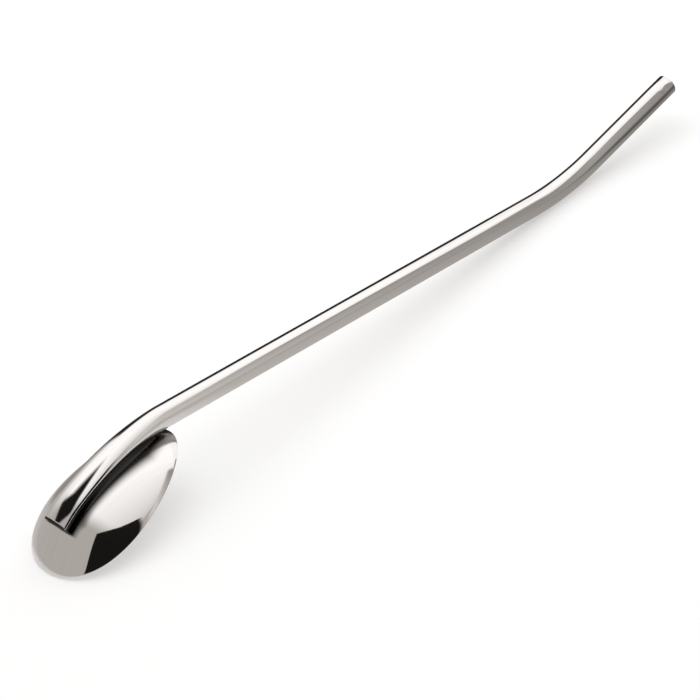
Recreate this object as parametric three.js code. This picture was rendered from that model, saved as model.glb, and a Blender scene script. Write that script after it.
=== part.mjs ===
import * as THREE from "three";

// Spoon straw: a steel drinking tube whose lower end is pressed flat and soldered along the back of
// a small spoon bowl. The pressed end stays open as a slit, so the liquid is drawn in behind the bowl.
//
// Millimetres, +Z up. The pieces are modelled in the bowl's frame: the rim lies in the plane z = 0,
// its heel at the origin and its tip at x = -BOWL_LENGTH, and the back of the bowl is up. The straw's
// whole length lies in the plane y = 0. At the end the group is turned until the straw lies on the
// tip of the bowl and on the outside of its mouth bend.

// The round tube, from the bowl to the mouth.
const TUBE_DIAMETER = 6;
const TUBE_WALL = 0.5;
const ENTRY_BEND_RADIUS = 62;
const ENTRY_BEND_ANGLE = THREE.MathUtils.degToRad(10.6);
const MAIN_LENGTH = 126;
const MOUTH_BEND_RADIUS = 86;
const MOUTH_BEND_ANGLE = THREE.MathUtils.degToRad(16.6);
const MOUTH_LENGTH = 34;

// The pressed end: it loses height over PRESS_LENGTH and ends in a slit of this outer height.
const PRESS_LENGTH = 35;
const PRESS_EASE = 0.72;
const PRESSED_HEIGHT = 2;

// The bowl. DOME_TOP, SEAT_START and SLIT_PLACE are distances from the heel towards the tip.
const BOWL_LENGTH = 44.4;
const BOWL_WIDTH = 32;
const BOWL_DEPTH = 7.6;
const BOWL_WALL = 0.8;
const RIM_LAND = 1;
const RIM_EGG = 0.2;
const RIM_BLUNTNESS = 0.95;
const DOME_TOP = 27;
const DOME_FULLNESS = 0.78;
const SEAT_START = 10.4;
const SLIT_PLACE = 34.9;

// The solder seams beside the tube, and the clearance that every two pieces keep.
const SEAM_RISE = 1.1;
const SEAM_REACH = 1.1;
const SEAM_HEEL_PLACE = 3.5;
const SEAM_HOLLOW = 0.3;
const CLEARANCE = 0.3;

// How finely the curves are cut.
const TUBE_SIDES = 24;
const SEAT_STEPS = 22;
const ENTRY_STEPS = 6;
const MOUTH_BEND_STEPS = 8;
const BOWL_SIDES = 48;
const DOME_RINGS = 9;
const SEAM_SIDE_POINTS = 3;
const SLOPE_STEP = 0.01;

const drawnSteel = { color: 0xd8d5d1, roughness: 0.08, metalness: 1 };
const buffedSteel = { color: 0xd7d4d0, roughness: 0.1, metalness: 1 };
const solder = { color: 0xcfccc8, roughness: 0.2, metalness: 1 };

const outerDome = {
  heel: 0,
  length: BOWL_LENGTH,
  width: BOWL_WIDTH,
  depth: BOWL_DEPTH,
};
const innerDome = {
  heel: RIM_LAND,
  length: BOWL_LENGTH - 2 * RIM_LAND,
  width: BOWL_WIDTH - 2 * RIM_LAND,
  depth: BOWL_DEPTH - BOWL_WALL,
};

// Joins rings of points into one closed surface. A ring of one point is a pole. Without poles the
// last ring meets the first (loop), or both ends are capped by a fan from each ring's first point.
function loft(rings, loop = false) {
  const positions = [];
  const starts = rings.map((ring) => {
    const start = positions.length / 3;
    ring.forEach((point) => positions.push(point.x, point.y, point.z));
    return start;
  });
  const faces = [];
  const join = (from, to) => {
    const sides = Math.max(rings[from].length, rings[to].length);
    for (let i = 0; i < sides; i++) {
      const next = (i + 1) % sides;
      const [a, b] = rings[from].length > 1 ? [starts[from] + i, starts[from] + next] : [starts[from]];
      const [c, d] = rings[to].length > 1 ? [starts[to] + i, starts[to] + next] : [starts[to]];
      if (b !== undefined) faces.push(a, b, c);
      if (d !== undefined) faces.push(b ?? a, d, c);
    }
  };
  for (let k = 0; k + 1 < rings.length; k++) join(k, k + 1);
  if (loop) {
    join(rings.length - 1, 0);
  } else {
    const last = rings.length - 1;
    for (let i = 1; i + 1 < rings[0].length; i++) {
      faces.push(starts[0], starts[0] + i + 1, starts[0] + i);
      faces.push(starts[last], starts[last] + i, starts[last] + i + 1);
    }
  }
  const geometry = new THREE.BufferGeometry();
  geometry.setAttribute("position", new THREE.Float32BufferAttribute(positions, 3));
  geometry.setIndex(faces);
  geometry.computeVertexNormals();
  return geometry;
}

function makeMesh(name, geometry, finish) {
  const mesh = new THREE.Mesh(geometry, new THREE.MeshStandardMaterial(finish));
  mesh.name = name;
  return mesh;
}

// Half the width of a dome's rim at a distance from the heel: an oval whose widest place sits
// towards the tip by RIM_EGG.
function rimHalfWidth(dome, fromHeel) {
  const share = THREE.MathUtils.clamp((fromHeel - dome.heel) / dome.length, 0, 1);
  const angle = Math.acos(1 - 2 * share);
  return (dome.width / 2) * Math.sin(angle - RIM_EGG * Math.sin(angle)) ** RIM_BLUNTNESS;
}

// Height of a dome's ridge above the rim, at a distance from the heel.
function ridgeHeight(dome, fromHeel) {
  const reach = fromHeel < DOME_TOP ? DOME_TOP - dome.heel : dome.heel + dome.length - DOME_TOP;
  const share = (fromHeel - DOME_TOP) / reach;
  return dome.depth * Math.max(1 - share * share, 0) ** DOME_FULLNESS;
}

// Height of a dome above the rim, at a distance from the heel and from the middle plane.
function domeHeight(dome, fromHeel, side) {
  const share = side / Math.max(rimHalfWidth(dome, fromHeel), SLOPE_STEP);
  return ridgeHeight(dome, fromHeel) * Math.max(1 - share * share, 0) ** DOME_FULLNESS;
}

// One ring round a dome: share 0 is its top and share 1 its rim.
function domeRing(dome, share) {
  const ring = [];
  for (let i = 0; i < BOWL_SIDES; i++) {
    const angle = ((i + 0.5) * 2 * Math.PI) / BOWL_SIDES;
    const rimPlace = dome.heel + (dome.length * (1 - Math.cos(angle))) / 2;
    const fromHeel = DOME_TOP + share * (rimPlace - DOME_TOP);
    const side = share * Math.sign(Math.sin(angle)) * rimHalfWidth(dome, rimPlace);
    const height = share < 1 ? domeHeight(dome, fromHeel, side) : 0;
    ring.push(new THREE.Vector3(-fromHeel, side, height));
  }
  return ring;
}

// The bowl is a pressed shell: out over its hollow, across the flat rim and up again over its back.
function makeBowl() {
  const top = (dome) => [new THREE.Vector3(-DOME_TOP, 0, dome.depth)];
  const shares = Array.from({ length: DOME_RINGS }, (_, k) =>
    Math.sin(((k + 1) * Math.PI) / (2 * DOME_RINGS)),
  );
  const hollow = shares.map((share) => domeRing(innerDome, share));
  const back = shares.map((share) => domeRing(outerDome, share)).reverse();
  return loft([top(innerDome), ...hollow, ...back, top(outerDome)]);
}

// Half the outer height of the tube at a distance from the slit: round, then ever flatter.
function tubeHalfHeight(fromSlit) {
  const share = THREE.MathUtils.clamp(1 - fromSlit / PRESS_LENGTH, 0, 1);
  const pressed = (share * share * (3 - 2 * share)) ** PRESS_EASE;
  return THREE.MathUtils.lerp(TUBE_DIAMETER / 2, PRESSED_HEIGHT / 2, pressed);
}

// Half the outer width that goes with it, because pressing keeps the tube's girth.
function tubeHalfWidth(halfHeight) {
  return halfHeight + (Math.PI * (TUBE_DIAMETER / 2 - halfHeight)) / 2;
}

// A place on the tube's axis: x and z, its heading towards the mouth, and its distance from the slit.
function makeStation(x, z, heading, fromSlit) {
  return { x, z, heading, fromSlit, halfHeight: tubeHalfHeight(fromSlit) };
}

function ridgeTilt(fromHeel) {
  const drop = ridgeHeight(outerDome, fromHeel - SLOPE_STEP) - ridgeHeight(outerDome, fromHeel + SLOPE_STEP);
  return Math.atan(drop / (2 * SLOPE_STEP));
}

// Where the axis runs while the tube lies along the ridge of the bowl's back.
function seatPlace(fromHeel) {
  const tilt = ridgeTilt(fromHeel);
  const lift = CLEARANCE + tubeHalfHeight(SLIT_PLACE - fromHeel);
  return new THREE.Vector2(
    -fromHeel - Math.sin(tilt) * lift,
    ridgeHeight(outerDome, fromHeel) + Math.cos(tilt) * lift,
  );
}

function seatStation(fromHeel) {
  const place = seatPlace(fromHeel);
  const heading = seatPlace(fromHeel - SLOPE_STEP).sub(seatPlace(fromHeel + SLOPE_STEP)).angle();
  return makeStation(place.x, place.y, heading, SLIT_PLACE - fromHeel);
}

// Stations along a round bend that starts at a station. A positive angle turns it upwards.
function bendStations(start, radius, angle, steps) {
  const turn = Math.sign(angle) * radius;
  return Array.from({ length: steps }, (_, k) => {
    const heading = start.heading + (angle * (k + 1)) / steps;
    return makeStation(
      start.x + turn * (Math.sin(heading) - Math.sin(start.heading)),
      start.z - turn * (Math.cos(heading) - Math.cos(start.heading)),
      heading,
      start.fromSlit + (radius * Math.abs(angle) * (k + 1)) / steps,
    );
  });
}

function stationAhead(start, length) {
  return makeStation(
    start.x + length * Math.cos(start.heading),
    start.z + length * Math.sin(start.heading),
    start.heading,
    start.fromSlit + length,
  );
}

// A point beside a station: across is along Y, and up is square to the axis.
function besideStation(station, across, up) {
  return new THREE.Vector3(
    station.x - Math.sin(station.heading) * up,
    across,
    station.z + Math.cos(station.heading) * up,
  );
}

const seat = Array.from({ length: SEAT_STEPS + 1 }, (_, k) =>
  seatStation(THREE.MathUtils.lerp(SLIT_PLACE, SEAT_START, k / SEAT_STEPS)),
);
const entry = bendStations(seat[SEAT_STEPS], ENTRY_BEND_RADIUS, -ENTRY_BEND_ANGLE, ENTRY_STEPS);
const mouthBendStart = stationAhead(entry[ENTRY_STEPS - 1], MAIN_LENGTH);
const mouthBend = bendStations(mouthBendStart, MOUTH_BEND_RADIUS, MOUTH_BEND_ANGLE, MOUTH_BEND_STEPS);
const mouth = stationAhead(mouthBend[MOUTH_BEND_STEPS - 1], MOUTH_LENGTH);
const stations = [...seat, ...entry, mouthBendStart, ...mouthBend, mouth];

// One ring round the tube: two half circles joined by flats, the wall's thickness in or not.
function tubeRing(station, inset) {
  const radius = station.halfHeight - inset;
  const flat = tubeHalfWidth(station.halfHeight) - station.halfHeight;
  return Array.from({ length: TUBE_SIDES }, (_, i) => {
    const angle = ((i + 0.5) * 2 * Math.PI) / TUBE_SIDES;
    const across = Math.sign(Math.cos(angle)) * flat + radius * Math.cos(angle);
    return besideStation(station, across, radius * Math.sin(angle));
  });
}

// The tube is one wall: along its outside to the mouth, over the cut end and back along the bore.
function makeTube() {
  const outside = stations.map((station) => tubeRing(station, 0));
  const bore = stations.map((station) => tubeRing(station, TUBE_WALL)).reverse();
  return loft([...outside, ...bore], true);
}

// One ring round a solder seam: it fills the corner between the tube's flank and the bowl's back.
function seamRing(station, hand) {
  const radius = station.halfHeight;
  const flat = tubeHalfWidth(radius) - radius;
  const toeAngle = Math.acos(1 - (SEAM_RISE - CLEARANCE) / radius);
  const rootAngle = toeAngle / 2;
  const steps = Array.from({ length: SEAM_SIDE_POINTS }, (_, k) => k / (SEAM_SIDE_POINTS - 1));
  const flank = steps.map((share) => {
    const angle = THREE.MathUtils.lerp(rootAngle, toeAngle, share);
    const across = flat + (radius + CLEARANCE) * Math.sin(angle);
    return besideStation(station, hand * across, -(radius + CLEARANCE) * Math.cos(angle));
  });
  const under = besideStation(station, 0, -radius - CLEARANCE);
  const rootSide = flat + (radius + CLEARANCE) * Math.sin(rootAngle);
  const toeSide = flat + radius * Math.sin(toeAngle) + SEAM_REACH;
  const foot = steps.map((share) => {
    const side = THREE.MathUtils.lerp(rootSide, toeSide, share);
    const height = domeHeight(outerDome, -under.x, side);
    return new THREE.Vector3(under.x, hand * side, height + CLEARANCE);
  });
  const face = foot.at(-1).clone().lerp(flank.at(-1), 0.5).lerp(flank[0], SEAM_HOLLOW);
  const ring = [...flank, face, ...foot.reverse()];
  return hand < 0 ? ring : [ring[0], ...ring.slice(1).reverse()];
}

function makeSeam(hand) {
  const along = [...seat, ...entry].filter(
    (station) => -besideStation(station, 0, -station.halfHeight).x > SEAM_HEEL_PLACE,
  );
  return loft(along.map((station) => seamRing(station, hand)));
}

// The line that the straw rests on touches the bowl's tip and the underside of the mouth bend.
function restTilt() {
  const underside = MOUTH_BEND_RADIUS + TUBE_DIAMETER / 2;
  const centre = new THREE.Vector2(
    mouthBendStart.x - MOUTH_BEND_RADIUS * Math.sin(mouthBendStart.heading),
    mouthBendStart.z + MOUTH_BEND_RADIUS * Math.cos(mouthBendStart.heading),
  );
  const fromTip = centre.sub(new THREE.Vector2(-BOWL_LENGTH, 0));
  return Math.asin(underside / fromTip.length()) - Math.atan2(fromTip.y, fromTip.x);
}

const straw = new THREE.Group();
straw.add(
  makeMesh("straw_tube", makeTube(), drawnSteel),
  makeMesh("spoon_bowl", makeBowl(), buffedSteel),
  makeMesh("solder_seam_left", makeSeam(1), solder),
  makeMesh("solder_seam_right", makeSeam(-1), solder),
);
straw.rotation.y = -restTilt();

// The origin is the middle of the footprint, on the surface that the straw lies on.
const spoonStraw = new THREE.Group();
spoonStraw.add(straw);
spoonStraw.updateMatrixWorld(true);
const bounds = new THREE.Box3().setFromObject(spoonStraw, true);
const middle = bounds.getCenter(new THREE.Vector3());
spoonStraw.position.set(-middle.x, -middle.y, -bounds.min.z);

export default spoonStraw;
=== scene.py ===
import math

import bmesh
import bpy
from mathutils import Matrix, Vector


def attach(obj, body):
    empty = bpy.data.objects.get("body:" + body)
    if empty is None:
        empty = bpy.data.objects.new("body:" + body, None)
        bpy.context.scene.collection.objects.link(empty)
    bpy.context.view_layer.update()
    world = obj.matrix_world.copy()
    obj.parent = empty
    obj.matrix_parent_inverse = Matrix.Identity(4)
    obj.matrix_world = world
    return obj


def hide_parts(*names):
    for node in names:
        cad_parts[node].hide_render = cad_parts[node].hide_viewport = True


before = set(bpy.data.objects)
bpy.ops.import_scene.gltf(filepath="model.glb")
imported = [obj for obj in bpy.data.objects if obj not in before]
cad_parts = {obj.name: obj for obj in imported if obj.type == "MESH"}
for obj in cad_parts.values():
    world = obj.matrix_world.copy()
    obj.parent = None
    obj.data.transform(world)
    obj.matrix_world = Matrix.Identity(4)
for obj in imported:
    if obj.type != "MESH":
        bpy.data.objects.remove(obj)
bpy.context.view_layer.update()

# The straw is modelled in millimetres in the bowl's own frame: the rim lies in z = 0 with its heel
# at the origin and its tip towards -X, and the back of the bowl is up. setDown() then lays it on
# the floor. The camera is in millimetres too, and the studio is in metres.
mm = 0.001


camera = {
    "place": (-249.532, -358.183, 281.524),
    "aim": (-14.414, 0.340, 0.0),
    "lean": 16.218,  # degrees that the camera is rolled
    "lens": 103.275,
    "sensor": 36.0,
    "nearest": 10.0,
    "farthest": 50000.0,
}


def setUpCamera():
    made = bpy.data.objects.new("camera", bpy.data.cameras.new("camera"))
    bpy.context.scene.collection.objects.link(made)
    place, aim = Vector(camera["place"]) * mm, Vector(camera["aim"]) * mm
    look = (aim - place).to_track_quat("-Z", "Y")
    roll = Matrix.Rotation(math.radians(-camera["lean"]), 4, "Z")
    made.matrix_world = Matrix.Translation(place) @ look.to_matrix().to_4x4() @ roll
    made.data.lens = camera["lens"]
    made.data.sensor_width = camera["sensor"]
    made.data.clip_start = camera["nearest"] * mm
    made.data.clip_end = camera["farthest"] * mm
    bpy.context.scene.camera = made


setUpCamera()
print("camera ready")


def lerp(a, b, share):
    return a + (b - a) * share


def clamp(value):
    return min(max(value, 0.0), 1.0)


bowl = {
    "length": 44.4,
    "width": 32.0,
    "depth": 7.6,
    "wall": 0.8,
    "rimLand": 1.0,
    "egg": 0.2,  # pushes the widest place towards the tip
    "bluntness": 0.95,
    "domeTop": 27.0,  # from the heel
    "fullness": 0.78,
    "slopeStep": 0.01,  # over which a slope of the dome is measured
    "sides": 176,
    "rings": 54,
    "edgeRound": 0.16,
    "edgeSteps": 3,
    "flat": 1e-6,  # what lies lower than this is in the rim's plane
}
backDome = {
    "heel": 0.0,
    "length": bowl["length"],
    "width": bowl["width"],
    "depth": bowl["depth"],
}
hollowDome = {
    "heel": bowl["rimLand"],
    "length": bowl["length"] - 2 * bowl["rimLand"],
    "width": bowl["width"] - 2 * bowl["rimLand"],
    "depth": bowl["depth"] - bowl["wall"],
}


def rimHalfWidth(dome, fromHeel):
    angle = math.acos(1 - 2 * clamp((fromHeel - dome["heel"]) / dome["length"]))
    return dome["width"] / 2 * math.sin(angle - bowl["egg"] * math.sin(angle)) ** bowl["bluntness"]


def ridgeHeight(dome, fromHeel):
    if fromHeel < bowl["domeTop"]:
        reach = bowl["domeTop"] - dome["heel"]
    else:
        reach = dome["heel"] + dome["length"] - bowl["domeTop"]
    share = (fromHeel - bowl["domeTop"]) / reach
    return dome["depth"] * max(1 - share * share, 0) ** bowl["fullness"]


def domeHeight(dome, fromHeel, side):
    share = side / max(rimHalfWidth(dome, fromHeel), bowl["slopeStep"])
    return ridgeHeight(dome, fromHeel) * max(1 - share * share, 0) ** bowl["fullness"]


straw = {
    "diameter": 6.0,
    "wall": 0.5,
    "slitHeight": 2.0,
    "slitSlant": 0.8,  # how far the slit's upper lip is cut back
    "slantReach": 5.0,
    "slitPlace": 34.9,  # from the heel, as the next
    "seatStart": 10.4,
    "pressLength": 35.0,
    "pressEase": 0.72,
    "gap": 0.3,  # film of solder under the tube
    "entryRadius": 62.0,
    "entryAngle": 10.6,
    "mainLength": 126.0,
    "mouthRadius": 86.0,
    "mouthAngle": 16.6,
    "mouthLength": 34.0,
    "seatSteps": 84,
    "entrySteps": 26,
    "mainSteps": 21,
    "mouthBendSteps": 36,
    "mouthSteps": 6,
    "sides": 96,
    "girthTries": 30,
    "edgeAngle": 50.0,  # an edge sharper than this was cut, and is rounded
    "edgeRound": 0.07,
    "edgeSteps": 2,
}


def halfHeight(fromSlit):
    share = clamp(1 - fromSlit / straw["pressLength"])
    pressed = (share * share * (3 - 2 * share)) ** straw["pressEase"]
    return lerp(straw["diameter"] / 2, straw["slitHeight"] / 2, pressed)


def halfWidth(height):
    # the other half axis of an oval with the round tube's girth, which pressing keeps
    wide, narrow = straw["diameter"] / 2, height
    girth = math.pi * straw["diameter"]
    for _ in range(straw["girthTries"]):
        mean = math.sqrt((3 * wide + narrow) * (wide + 3 * narrow))
        wide += (girth - math.pi * (3 * (wide + narrow) - mean)) / 4
    return wide


def seatPlace(fromHeel):
    step = bowl["slopeStep"]
    drop = ridgeHeight(backDome, fromHeel - step) - ridgeHeight(backDome, fromHeel + step)
    tilt = math.atan(drop / (2 * step))
    lift = straw["gap"] + halfHeight(straw["slitPlace"] - fromHeel)
    return Vector((
        -fromHeel - math.sin(tilt) * lift,
        ridgeHeight(backDome, fromHeel) + math.cos(tilt) * lift,
    ))


# A station is a place on the tube's axis: its x and z, its heading and how far it is from the slit.
def seatStation(fromHeel):
    step = bowl["slopeStep"]
    place = seatPlace(fromHeel)
    ahead = seatPlace(fromHeel - step) - seatPlace(fromHeel + step)
    return (place.x, place.y, math.atan2(ahead.y, ahead.x), straw["slitPlace"] - fromHeel)


def bendStations(start, radius, angle, steps):
    x, z, heading, fromSlit = start
    turn = math.copysign(radius, angle)
    made = []
    for k in range(1, steps + 1):
        new = heading + angle * k / steps
        made.append((
            x + turn * (math.sin(new) - math.sin(heading)),
            z - turn * (math.cos(new) - math.cos(heading)),
            new,
            fromSlit + radius * abs(angle) * k / steps,
        ))
    return made


def straightStations(start, length, steps):
    x, z, heading, fromSlit = start
    return [
        (
            x + length * k / steps * math.cos(heading),
            z + length * k / steps * math.sin(heading),
            heading,
            fromSlit + length * k / steps,
        )
        for k in range(1, steps + 1)
    ]


seat = [
    seatStation(lerp(straw["slitPlace"], straw["seatStart"], k / straw["seatSteps"]))
    for k in range(straw["seatSteps"] + 1)
]
entry = bendStations(
    seat[-1], straw["entryRadius"], -math.radians(straw["entryAngle"]), straw["entrySteps"]
)
main = straightStations(entry[-1], straw["mainLength"], straw["mainSteps"])
mouthBend = bendStations(
    main[-1], straw["mouthRadius"], math.radians(straw["mouthAngle"]), straw["mouthBendSteps"]
)
mouth = straightStations(mouthBend[-1], straw["mouthLength"], straw["mouthSteps"])
stations = seat + entry + main + mouthBend + mouth


def besideAxis(station, across, up):
    x, z, heading, _ = station
    return Vector((x - math.sin(heading) * up, across, z + math.cos(heading) * up))


def pressedPoint(station, turn):
    # a point of the tube's outside after the pressing; the slit's upper lip is cut back a little
    _, _, heading, fromSlit = station
    height = halfHeight(fromSlit)
    place = besideAxis(station, -halfWidth(height) * math.cos(turn), height * math.sin(turn))
    slant = straw["slitSlant"] * clamp(1 - fromSlit / straw["slantReach"]) ** 2
    ahead = Vector((math.cos(heading), 0, math.sin(heading)))
    return place + ahead * (slant * (1 + math.sin(turn)) / 2)


solder = {
    "rise": 1.1,
    "reach": 1.1,
    "heelPlace": 3.5,
    "heelFade": 9.0,  # the seams grow to their full size over this length
    "hollow": 0.42,
    "innerTurn": 0.02,  # where the seam starts on the tube, just off its middle
    "footShares": (0.02, 0.35, 0.7, 1.0),  # and its points on the bowl, out to the toe
    "facePoints": 9,
    "bite": 0.03,  # how far it laps into the steel
    "paintedShadeStart": 0.75,  # the painted shade beside the tube starts here, as a share of its half width
    "pastSlit": 8.0,  # how much faster that painted shade fades beyond the slit
    "liftFade": 0.45,  # and how much it fades where the tube rises from the heel
}


def besideStraw(point, liftFade=0.0):
    # how far a point of the bowl's back lies from the tube, in about the heights of the tube
    fromHeel = -point.x
    half = halfHeight(straw["slitPlace"] - fromHeel)
    across = max(abs(point.y) - halfWidth(half) * solder["paintedShadeStart"], 0)
    past = max(fromHeel - straw["slitPlace"], 0) * solder["pastSlit"]
    lifted = max(solder["heelFade"] - fromHeel, 0) * liftFade
    return (math.hypot(across, past) + lifted) / (straw["diameter"] / 2 + half)


def extrudeRing(mesh, ring):
    count = len(ring)
    edges = [mesh.edges.get((ring[i], ring[(i + 1) % count])) for i in range(count)]
    made = bmesh.ops.extrude_edge_only(mesh, edges=edges)["geom"]
    fresh = {part for part in made if isinstance(part, bmesh.types.BMVert)}
    return [
        next(e.other_vert(v) for e in v.link_edges if e.other_vert(v) in fresh) for v in ring
    ]


def loftRings(mesh, rows):
    # a skin over rows of points: a circle takes the first row and is extruded to each of the others
    ring = bmesh.ops.create_circle(mesh, segments=len(rows[0]), radius=1)["verts"]
    ring.sort(key=lambda vert: math.atan2(vert.co.y, vert.co.x) % (2 * math.pi))
    rings = []
    for points in rows:
        if rings:
            ring = extrudeRing(mesh, ring)
        for vert, point in zip(ring, points):
            vert.co = point
        rings.append(ring)
    return rings


def roundEdges(mesh, edges, size, steps):
    bmesh.ops.bevel(
        mesh, geom=edges, offset=size, offset_type="OFFSET", segments=steps,
        profile=0.5, affect="EDGES", material=-1, clamp_overlap=True,
    )


# how the straw lies on its tip and its bend
rest = {"tilt": 16.8526, "shift": (-70.78, 0.0, 12.872)}


def setDown(mesh):
    turn = Matrix.Rotation(-math.radians(rest["tilt"]), 4, "Y")
    place = Matrix.Scale(mm, 4) @ Matrix.Translation(Vector(rest["shift"])) @ turn
    bmesh.ops.transform(mesh, matrix=place, verts=mesh.verts[:])


def addObject(name, mesh, material):
    data = bpy.data.meshes.new(name)
    mesh.to_mesh(data)
    mesh.free()
    data.materials.append(material)
    made = bpy.data.objects.new(name, data)
    bpy.context.scene.collection.objects.link(made)
    return made


def finishPiece(name, mesh, material, node):
    setDown(mesh)
    piece = addObject(name, mesh, material)
    for face in piece.data.polygons:
        face.use_smooth = True
    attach(piece, "root")
    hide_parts(node)


class Wire:
    # a socket that can be added, multiplied and so on

    def __init__(self, finish, socket):
        self.finish, self.socket = finish, socket

    def combine(self, operation, first, second):
        return self.finish.node(
            "ShaderNodeMath", {"operation": operation}, {0: first, 1: second}, 0
        )

    def __add__(self, other):
        return self.combine("ADD", self, other)

    def __sub__(self, other):
        return self.combine("SUBTRACT", self, other)

    def __rsub__(self, other):
        return self.combine("SUBTRACT", other, self)

    def __mul__(self, other):
        return self.combine("MULTIPLY", self, other)

    __radd__ = __add__
    __rmul__ = __mul__

    def between(self, low, high):
        # 0 at low and 1 at high, smooth at both ends
        return self.finish.node(
            "ShaderNodeMapRange", {"interpolation_type": "SMOOTHSTEP"},
            {"Value": self, "From Min": low, "From Max": high}, "Result",
        )


highestMark = 0.1 * mm  # in the metal, with a bump of 1


class Finish:
    # a material, or the world, and the nodes in it

    def __init__(self, name, owner=None):
        self.owner = owner or bpy.data.materials.new(name)
        self.owner.use_nodes = True
        self.tree = self.owner.node_tree
        self.tree.nodes.clear()

    def node(self, kind, settings=None, sockets=None, output=None):
        made = self.tree.nodes.new(kind)
        for name, value in (settings or {}).items():
            setattr(made, name, value)
        for name, value in (sockets or {}).items():
            if isinstance(value, Wire):
                self.tree.links.new(value.socket, made.inputs[name])
            else:
                made.inputs[name].default_value = value
        return made if output is None else Wire(self, made.outputs[output])

    def attribute(self, name, output="Fac"):
        return self.node("ShaderNodeAttribute", {"attribute_name": name}, None, output)

    def noise(self, vector, scale, detail, roughness, stretch=None, turn=0.0):
        # the turn is in degrees about Z
        if stretch:
            vector = self.node("ShaderNodeMapping", None, {
                "Vector": vector, "Scale": stretch, "Rotation": (0, 0, math.radians(turn)),
            }, 0)
        return self.node("ShaderNodeTexNoise", None, {
            "Vector": vector, "Scale": scale, "Detail": detail, "Roughness": roughness,
        }, 0)

    def mixed(self, factor, first, second):
        made = self.node("ShaderNodeMix", {"data_type": "RGBA"})
        for place, value in ((0, factor), (6, first), (7, second)):
            if isinstance(value, Wire):
                self.tree.links.new(value.socket, made.inputs[place])
            else:
                made.inputs[place].default_value = value if place == 0 else (*value, 1)
        return Wire(self, made.outputs[2])

    def glow(self, colour, strength, kind="ShaderNodeEmission"):
        return self.node(kind, None, {"Color": (*colour, 1), "Strength": strength}, 0)

    def either(self, share, first, second):
        return self.node("ShaderNodeMixShader", None, {0: share, 1: first, 2: second}, 0)

    def output(self, surface, kind="ShaderNodeOutputMaterial"):
        self.node(kind, None, {"Surface": surface})
        return self.owner

    def metal(self, colour, roughness, relief, bump):
        normal = self.node("ShaderNodeBump", None, {
            "Strength": bump, "Distance": highestMark, "Height": relief,
        }, "Normal")
        return self.output(self.node("ShaderNodeBsdfPrincipled", None, {
            "Metallic": 1.0, "Normal": normal, "Roughness": roughness, "Base Color": colour,
        }, 0))


# Edges are the two levels of a noise or an attribute between which its mark comes up.
tubeSteel = {
    "colour": (0.672, 0.655, 0.640),
    "duller": (0.600, 0.582, 0.565),
    "bore": (0.050, 0.047, 0.045),  # painted shade inside the tube, near black; the inside isn't polished either, so it is rougher
    "boreEdges": (0.6, 0.95),
    "boreRoughness": 0.45,
    "roughness": 0.035,
    "lines": {"scale": 9.0, "detail": 4.0, "roughness": 0.62, "stretch": (1, 1, 0.012)},
    "fineLines": {"scale": 34.0, "detail": 2.0, "roughness": 0.5, "stretch": (1, 1, 0.02)},
    "lineEdges": (0.36, 0.68),
    "lineShares": (0.6, 0.4),  # of the two kinds of line in the colour
    "lineDepths": (0.5, 0.5),  # and in the bump
    "lineDulling": 0.35,
    "lineRoughness": 0.02,
    "bump": 0.02,
    "smudges": {"scale": 0.32, "detail": 2.0, "roughness": 0.5, "stretch": (1, 1, 0.35)},
    "smudgeEdges": (0.45, 0.75),
    "smudgeRoughness": 0.02,
}


def makeTubeSteel():
    made = Finish("tubeSteel")
    straight = made.attribute("straight", "Vector")
    lines = made.noise(straight, **tubeSteel["lines"])
    fineLines = made.noise(straight, **tubeSteel["fineLines"])
    smudges = made.noise(straight, **tubeSteel["smudges"]).between(*tubeSteel["smudgeEdges"])
    share, fineShare = tubeSteel["lineShares"]
    shade = (lines * share + fineLines * fineShare).between(*tubeSteel["lineEdges"])
    inside = made.attribute("bore").between(*tubeSteel["boreEdges"])
    roughness = (
        tubeSteel["roughness"] + shade * tubeSteel["lineRoughness"]
        + smudges * tubeSteel["smudgeRoughness"] + inside * tubeSteel["boreRoughness"]
    )
    outside = made.mixed(
        shade * tubeSteel["lineDulling"], tubeSteel["colour"], tubeSteel["duller"]
    )
    depth, fineDepth = tubeSteel["lineDepths"]
    # the inside of the tube takes the near-black bore colour: painted shade in the bore
    return made.metal(
        made.mixed(inside, outside, tubeSteel["bore"]), roughness,
        lines * depth + fineLines * fineDepth, tubeSteel["bump"],
    )


def drawStraw():
    mesh = bmesh.new()
    straight = mesh.verts.layers.float_vector.new("straight")  # where it was before the bending
    bore = mesh.verts.layers.float.new("bore")
    radius = straw["diameter"] / 2
    turns = [k * 2 * math.pi / straw["sides"] for k in range(straw["sides"])]
    rings = loftRings(mesh, [[pressedPoint(s, turn) for turn in turns] for s in stations])
    for ring, station in zip(rings, stations):
        for vert, turn in zip(ring, turns):
            vert[straight] = (radius * math.cos(turn), radius * math.sin(turn), station[3])
    bmesh.ops.recalc_face_normals(mesh, faces=mesh.faces[:])
    outside = set(mesh.verts)
    bmesh.ops.solidify(mesh, geom=mesh.faces[:], thickness=straw["wall"])
    for vert in mesh.verts:
        vert[bore] = 0 if vert in outside else 1
    cut = [
        e for e in mesh.edges
        if len(e.link_faces) == 2 and e.calc_face_angle(0) > math.radians(straw["edgeAngle"])
    ]
    roundEdges(mesh, cut, straw["edgeRound"], straw["edgeSteps"])
    return mesh


finishPiece("straw", drawStraw(), makeTubeSteel(), "straw_tube")
print("straw drawn")


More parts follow.
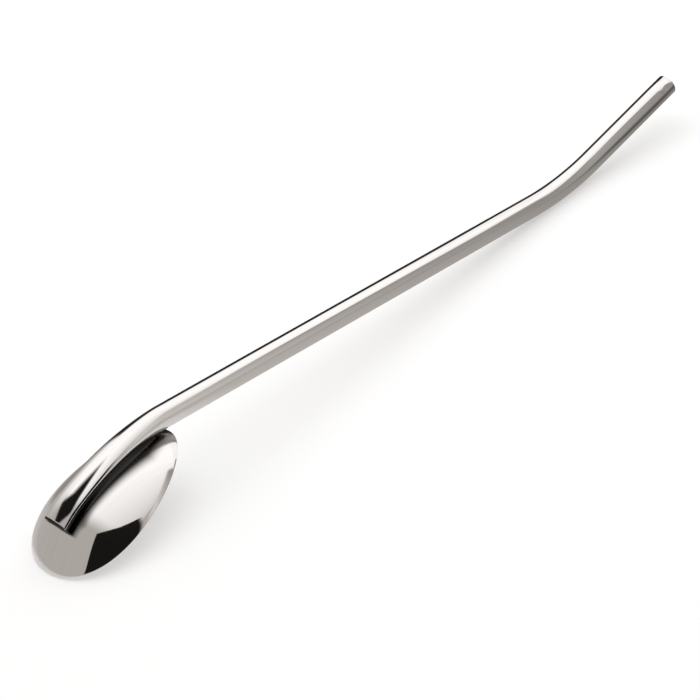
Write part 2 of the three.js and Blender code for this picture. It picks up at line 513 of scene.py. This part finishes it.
bowlSteel = {
    "colour": (0.672, 0.652, 0.635),
    "duller": (0.600, 0.580, 0.560),
    "dulling": 0.3,
    "roughness": 0.03,
    "bump": 0.03,
    "streaks": {
        "scale": 1.0, "detail": 4.0, "roughness": 0.6, "stretch": (60, 900, 60), "turn": 12.0,
    },
    "streakEdges": (0.42, 0.72),
    "streakRoughEdges": (0.4, 0.7),
    "streakRoughness": 0.015,
    "streakDepth": 0.4,
    "cloud": {"scale": 160.0, "detail": 3.0, "roughness": 0.55},
    "cloudEdges": (0.4, 0.75),
    "cloudRoughness": 0.03,
    "hairs": {
        "scale": 1.0, "detail": 2.0, "roughness": 0.5, "stretch": (90, 5200, 300), "turn": 34.0,
    },
    "hairEdges": (0.70, 0.80),
    "crossHairs": {
        "scale": 1.0, "detail": 2.0, "roughness": 0.5, "stretch": (110, 6400, 300), "turn": -47.0,
    },
    "crossHairEdges": (0.71, 0.80),
    "scratchRoughness": 0.05,
    "scratchDepth": 0.6,
    "paintedSeamShade": (0.030, 0.028, 0.026),  # painted shade beside the seams, standing in for the dark reflections and shade between the tube and the bowl
    "paintedShadeEdges": (0.3, 0.95),  # where it starts to fade and where it ends, by besideStraw()
    "dullEdges": (1.45, 0.0),  # where the dullness ends and where it is full
    "dullRoughness": 0.3,
}


def makeBowlSteel():
    made = Finish("bowlSteel")
    place = made.node("ShaderNodeTexCoord", None, None, "Object")
    streaks = made.noise(place, **bowlSteel["streaks"])
    cloud = made.noise(place, **bowlSteel["cloud"]).between(*bowlSteel["cloudEdges"])
    hairs = made.noise(place, **bowlSteel["hairs"])
    crossHairs = made.noise(place, **bowlSteel["crossHairs"])
    scratches = (
        hairs.between(*bowlSteel["hairEdges"]) + crossHairs.between(*bowlSteel["crossHairEdges"])
    )
    fromStraw = made.attribute("fromStraw")
    unshaded = fromStraw.between(*bowlSteel["paintedShadeEdges"])
    dull = fromStraw.between(*bowlSteel["dullEdges"])
    roughness = (
        bowlSteel["roughness"] + dull * bowlSteel["dullRoughness"]
        + cloud * bowlSteel["cloudRoughness"]
        + streaks.between(*bowlSteel["streakRoughEdges"]) * bowlSteel["streakRoughness"]
        + scratches * bowlSteel["scratchRoughness"]
    )
    worn = (streaks.between(*bowlSteel["streakEdges"]) + scratches) * bowlSteel["dulling"]
    polished = made.mixed(worn, bowlSteel["colour"], bowlSteel["duller"])
    # the polished colour goes near black beside the seams: painted shade between the tube and the
    # bowl
    return made.metal(
        made.mixed(unshaded, bowlSteel["paintedSeamShade"], polished), roughness,
        streaks * bowlSteel["streakDepth"] - scratches * bowlSteel["scratchDepth"],
        bowlSteel["bump"],
    )


def domePoints(dome, share):
    # one ring of the dome, from its top at a share of 0 to its rim at 1
    made = []
    for i in range(bowl["sides"]):
        angle = i * 2 * math.pi / bowl["sides"]
        rimPlace = dome["heel"] + dome["length"] * (1 - math.cos(angle)) / 2
        fromHeel = lerp(bowl["domeTop"], rimPlace, share)
        side = math.copysign(share * rimHalfWidth(dome, rimPlace), math.sin(angle))
        height = domeHeight(dome, fromHeel, side) if share < 1 else 0.0
        made.append(Vector((-fromHeel, side, height)))
    return made


def pressBowl():
    mesh = bmesh.new()
    fromStraw = mesh.verts.layers.float.new("fromStraw")
    shares = [math.sin((k + 1) * math.pi / (2 * bowl["rings"])) for k in range(bowl["rings"])]
    hollow = [domePoints(hollowDome, share) for share in shares]
    back = [domePoints(backDome, share) for share in reversed(shares)]
    rings = loftRings(mesh, hollow + back)
    for ring in rings[:len(hollow)]:
        for vert in ring:
            vert[fromStraw] = bowl["width"]  # far, because the hollow gets no painted shade
    for ring in rings[len(hollow):]:
        for vert in ring:
            vert[fromStraw] = besideStraw(vert.co, solder["liftFade"])
    for pole, dome in ((rings[0], hollowDome), (rings[-1], backDome)):
        fan = extrudeRing(mesh, pole)
        bmesh.ops.pointmerge(mesh, verts=fan, merge_co=(-bowl["domeTop"], 0, dome["depth"]))
    bmesh.ops.recalc_face_normals(mesh, faces=mesh.faces[:])

    def inRim(part):
        return all(abs(v.co.z) < bowl["flat"] for v in part.verts)

    rim = [e for e in mesh.edges if inRim(e) and not all(inRim(f) for f in e.link_faces)]
    roundEdges(mesh, rim, bowl["edgeRound"], bowl["edgeSteps"])
    return mesh


finishPiece("spoonBowl", pressBowl(), makeBowlSteel(), "spoon_bowl")
print("bowl pressed")


solderMetal = {
    "colour": (0.640, 0.625, 0.605),
    "duller": (0.430, 0.415, 0.395),
    "dulling": 0.6,
    "roughness": 0.16,
    "bump": 0.03,
    "grain": {"scale": 1400.0, "detail": 4.0, "roughness": 0.6},
    "grainEdges": (0.4, 0.7),
    "grainRoughness": 0.08,
    "grainDepth": 0.4,
    "pools": {"scale": 420.0, "detail": 2.0, "roughness": 0.5, "stretch": (1, 1.6, 1.6)},
    "poolEdges": (0.45, 0.7),
    "poolDepth": 0.6,
}


def makeSolderMetal():
    made = Finish("solderMetal")
    place = made.node("ShaderNodeTexCoord", None, None, "Object")
    grain = made.noise(place, **solderMetal["grain"])
    pools = made.noise(place, **solderMetal["pools"])
    worn = pools.between(*solderMetal["poolEdges"]) * solderMetal["dulling"]
    metal = made.mixed(worn, solderMetal["colour"], solderMetal["duller"])
    unshaded = made.attribute("fromStraw").between(*bowlSteel["paintedShadeEdges"])
    rough = grain.between(*solderMetal["grainEdges"]) * solderMetal["grainRoughness"]
    # the solder gets the same painted shade beside the seams
    return made.metal(
        made.mixed(unshaded, bowlSteel["paintedSeamShade"], metal), solderMetal["roughness"] + rough,
        grain * solderMetal["grainDepth"] + pools * solderMetal["poolDepth"],
        solderMetal["bump"],
    )


def seamPoints(station, hand):
    height = halfHeight(station[3])
    width = halfWidth(height)
    under = besideAxis(station, 0, -height - straw["gap"])
    size = clamp((-under.x - solder["heelPlace"]) / solder["heelFade"]) ** 0.5
    toe = math.acos(1 - size * (solder["rise"] - straw["gap"]) / height)
    bite = solder["bite"]

    def tubeSide(turn):
        return besideAxis(
            station, hand * (width - bite) * math.sin(turn), -(height - bite) * math.cos(turn)
        )

    toeSide = width * math.sin(toe) + size * solder["reach"]
    foot = []
    for share in solder["footShares"]:
        side = share * toeSide
        depth = domeHeight(backDome, -under.x, side) - bite
        foot.append(Vector((under.x, hand * side, depth)))
    corner = foot[-1].lerp(tubeSide(toe), 0.5).lerp(tubeSide(toe / 2), solder["hollow"])
    face = []
    for k in range(1, solder["facePoints"]):
        share = k / solder["facePoints"]
        face.append(tubeSide(toe).lerp(corner, share).lerp(corner.lerp(foot[-1], share), share))
    inner = [tubeSide(solder["innerTurn"]), tubeSide(toe / 2), tubeSide(toe)]
    return [*inner, *face, *reversed(foot)]


def flowSolder(hand):
    mesh = bmesh.new()
    fromStraw = mesh.verts.layers.float.new("fromStraw")
    along = [
        s for s in seat + entry if -besideAxis(s, 0, -halfHeight(s[3])).x > solder["heelPlace"]
    ]
    rings = loftRings(mesh, [seamPoints(station, hand) for station in along])
    for vert in mesh.verts:
        vert[fromStraw] = besideStraw(vert.co)
    for end in (rings[0], rings[-1]):
        mesh.faces.new(end)
    bmesh.ops.recalc_face_normals(mesh, faces=mesh.faces[:])
    return mesh


solderMaterial = makeSolderMetal()
finishPiece("solderLeft", flowSolder(1), solderMaterial, "solder_seam_left")
finishPiece("solderRight", flowSolder(-1), solderMaterial, "solder_seam_right")
print("solder flowed")


studio = {
    "floorSize": 12.0,
    "floorWhite": 0.4,  # how much of the floor's white doesn't wait for the lamps
    "floorColour": (0.95, 0.95, 0.95),
    "floorRoughness": 0.7,
    "white": (1.0, 1.0, 1.0),
    "black": (0.0, 0.0, 0.0),
    "lampPlace": (0.0, 0.6, 0.8),
    "lampSize": 0.8,
    "lampPower": 2.0,
    "room": 0.599,  # grey of the room that the metal mirrors
    "brightest": 1.5,  # no part of a card with slopes glows more than this
    "lightTint": (1.0, 0.997, 1.0),
    "greyTint": (1.0, 0.957, 0.915),
}
# Cards round the straw, which the camera doesn't see. The lights shine on everything, and the flags
# show only in the metal. A standing card has an azimuth and how far away it is, and a hanging or
# lying one has a turn and a height. Its sides are left, right, low and high; these, and how far the
# glow fades in from each, are in metres. Slopes say how its glow grows across it and up it.
lights = {
    "rightWall": {
        "azimuth": 12.2, "away": 0.9, "glow": 1.36,
        "sides": (-0.969, 0.56, 0.103, 1.2),
        "fades": (0.21, 0.1, 0.024, 0.01),
        "slopes": (0.052, -0.003),
    },
    "backWall": {
        "azimuth": 90.0, "away": 0.9, "glow": 1.369,
        "sides": (-0.791, 0.53, 0.211, 1.3),
        "fades": (0.1, 0.397, 0.435, 0.01),
        "slopes": (0.324, 0.028),
    },
    "roof": {
        "turn": 2.9, "height": 0.9, "glow": 1.5,
        "sides": (-0.55, 1.2, -1.154, 1.178),
        "fades": (0.3, 0.1, 0.21, 0.1),
        "slopes": (0.44, 1.0),
    },
}
flags = {
    "tableNear": {
        "turn": 0.0, "height": 0.0008, "glow": 0.4775,
        "sides": (-0.075, 0.17, -0.09, 0.009),
        "fades": (0.035, 0.06, 0.03, 0.008),
        "slopes": (-1.129, 0.0),
    },
    "tableMouth": {
        "turn": 0.0, "height": 0.0009, "glow": 0.134,
        "sides": (0.07, 0.19, -0.045, -0.004),
        "fades": (0.03, 0.03, 0.012, 0.012),
    },
    "tableHeel": {
        "turn": 0.0, "height": 0.0006, "glow": 0.66,
        "sides": (-0.14, 0.12, -0.6, -0.05),
        "fades": (0.03, 0.12, 0.1, 0.04),
    },
    "backFlag": {
        "azimuth": 90.0, "away": 0.6, "glow": 0.02,
        "sides": (-1.6, -0.008, 0.0, 0.5),
        "fades": (0.1, 0.06, 0.005, 0.16),
    },
    "backFlagLow": {
        "azimuth": 90.0, "away": 0.59, "glow": 0.1,
        "sides": (-0.08, 0.08, 0.0, 0.075),
        "fades": (0.03, 0.03, 0.005, 0.04),
    },
    "tableFlag": {
        "turn": 0.0, "height": 0.0006, "glow": 0.02,
        "sides": (-0.127, 1.2, 0.006, 1.2),
        "fades": (0.137, 0.3, 0.045, 0.1),
    },
    "tableFront": {
        "turn": 38.2, "height": 0.0004, "glow": 0.589,
        "sides": (-1.6, 1.6, -1.6, 0.011),
        "fades": (0.1, 0.3, 0.1, 0.1),
        "slopes": (-1.0, -1.0),
    },
    "tableLeft": {
        "turn": 0.0, "height": 0.0005, "glow": 0.586,
        "sides": (-1.6, -0.1095, -1.6, 1.6),
        "fades": (0.1, 0.016, 0.1, 0.1),
    },
    "tableBack": {
        "turn": 0.0, "height": 0.00045, "glow": 0.687,
        "sides": (-1.6, 0.0, 0.008, 1.6),
        "fades": (0.1, 0.1, 0.01, 0.1),
    },
    "tableBackHeel": {
        "turn": 0.0, "height": 0.00065, "glow": 0.35,
        "sides": (-0.1, -0.03, 0.03, 0.3),
        "fades": (0.012, 0.03, 0.015, 0.1),
    },
    "frontFlag": {
        "azimuth": -136.5, "away": 0.291, "glow": 0.012,
        "sides": (-0.175, 0.345, 0.0, 0.48),
        "fades": (0.005, 0.1, 0.005, 0.01),
    },
    "roofFlag": {
        "turn": 22.3, "height": 0.59, "glow": 0.012,
        "sides": (-0.347, 0.019, 0.208, 0.95),
        "fades": (0.05, 0.085, 0.12, 0.1),
    },
    "frontWall": {
        "azimuth": -15.9, "away": 0.3, "glow": 0.79,
        "sides": (-0.643, -0.09, 0.0, 0.468),
        "fades": (0.272, 0.03, 0.015, 0.12),
        "slopes": (-1.1, 0.3),
    },
    "frontWallEnd": {
        "azimuth": -15.9, "away": 0.2995, "glow": 0.42,
        "sides": (-0.12, -0.02, 0.0, 0.23),
        "fades": (0.03, 0.02, 0.015, 0.05),
    },
}


def paperMesh(width, height):
    mesh = bmesh.new()
    bmesh.ops.create_grid(mesh, x_segments=1, y_segments=1, size=0.5)
    bmesh.ops.scale(mesh, vec=(width, height, 1), verts=mesh.verts[:])
    return mesh


def makeFloor():
    made = Finish("floorPaper")
    path = made.node("ShaderNodeLightPath")
    seen, mirrored, through = (
        Wire(made, path.outputs[name])
        for name in ("Is Camera Ray", "Is Glossy Ray", "Is Transmission Ray")
    )
    paper = made.node("ShaderNodeBsdfPrincipled", None, {
        "Base Color": (*studio["floorColour"], 1), "Roughness": studio["floorRoughness"],
    }, 0)
    share = (seen + mirrored + through) * studio["floorWhite"]
    surface = made.either(share, paper, made.glow(studio["white"], 1.0))
    size = studio["floorSize"]
    addObject("floor", paperMesh(size, size), made.output(surface))


def cardGlow(name, card, tint):
    left, right, low, high = card["sides"]
    fades = card["fades"]
    made = Finish(name)
    place = made.node("ShaderNodeSeparateXYZ", None, {
        0: made.node("ShaderNodeTexCoord", None, None, "Object"),
    })
    across, up = Wire(made, place.outputs[0]), Wire(made, place.outputs[1])
    shown = (
        across.between(left, left + fades[0]) * across.between(right, right - fades[1])
        * up.between(low, low + fades[2]) * up.between(high, high - fades[3])
    )
    if "slopes" in card:
        # at its middle the card has just its own glow
        slant = card["slopes"][0] / (right - left)
        rise = card["slopes"][1] / (high - low)
        level = (
            (across * slant + (1 - slant * (left + right) / 2))
            * (up * rise + (1 - rise * (low + high) / 2))
        ) * (card["glow"] / studio["brightest"])
        bright = made.glow(tint, studio["brightest"])
        glowing = made.either(level, made.glow(studio["black"], 1.0), bright)
    else:
        glowing = made.glow(tint, card["glow"])
    clear = made.node("ShaderNodeBsdfTransparent", None, None, 0)
    return made.output(made.either(shown, clear, glowing))


def makeCard(name, card, tint):
    left, right, low, high = card["sides"]
    mesh = paperMesh(right - left, high - low)
    middle = ((left + right) / 2, (low + high) / 2, 0)
    bmesh.ops.translate(mesh, vec=middle, verts=mesh.verts[:])
    made = addObject(name, mesh, cardGlow(name, card, tint))
    if "azimuth" in card:
        upright = Matrix.Rotation(math.pi / 2, 4, "X")
        turn = Matrix.Rotation(math.radians(card["azimuth"] + 90), 4, "Z") @ upright
        made.matrix_world = turn @ Matrix.Translation((0, 0, card["away"]))
    else:
        turn = Matrix.Rotation(math.radians(card["turn"]), 4, "Z")
        made.matrix_world = Matrix.Translation((0, 0, card["height"])) @ turn
    made.visible_camera = False
    return made


def makeLamp():
    # stands behind the straw, and the card there is what the metal shows of it
    lamp = bpy.data.objects.new("lamp", bpy.data.lights.new("lamp", "AREA"))
    lamp.data.size = studio["lampSize"]
    lamp.data.energy = studio["lampPower"]
    lamp.location = studio["lampPlace"]
    lamp.rotation_euler = (-Vector(studio["lampPlace"])).to_track_quat("-Z", "Y").to_euler()
    bpy.context.scene.collection.objects.link(lamp)
    lamp.visible_glossy = False


def makeRoom():
    world = bpy.data.worlds.new("room")
    bpy.context.scene.world = world
    made = Finish("room", world)
    seen = Wire(made, made.node("ShaderNodeLightPath").outputs["Is Camera Ray"])
    grey = made.glow(studio["greyTint"], studio["room"], "ShaderNodeBackground")
    white = made.glow(studio["white"], 1.0, "ShaderNodeBackground")
    made.output(made.either(seen, grey, white), "ShaderNodeOutputWorld")


makeFloor()
makeLamp()
for name, card in lights.items():
    makeCard(name, card, studio["lightTint"])
for name, card in flags.items():
    flag = makeCard(name, card, studio["greyTint"])
    flag.visible_diffuse = flag.visible_shadow = False
makeRoom()
bpy.context.scene.view_settings.view_transform = "Standard"
print("studio lit")
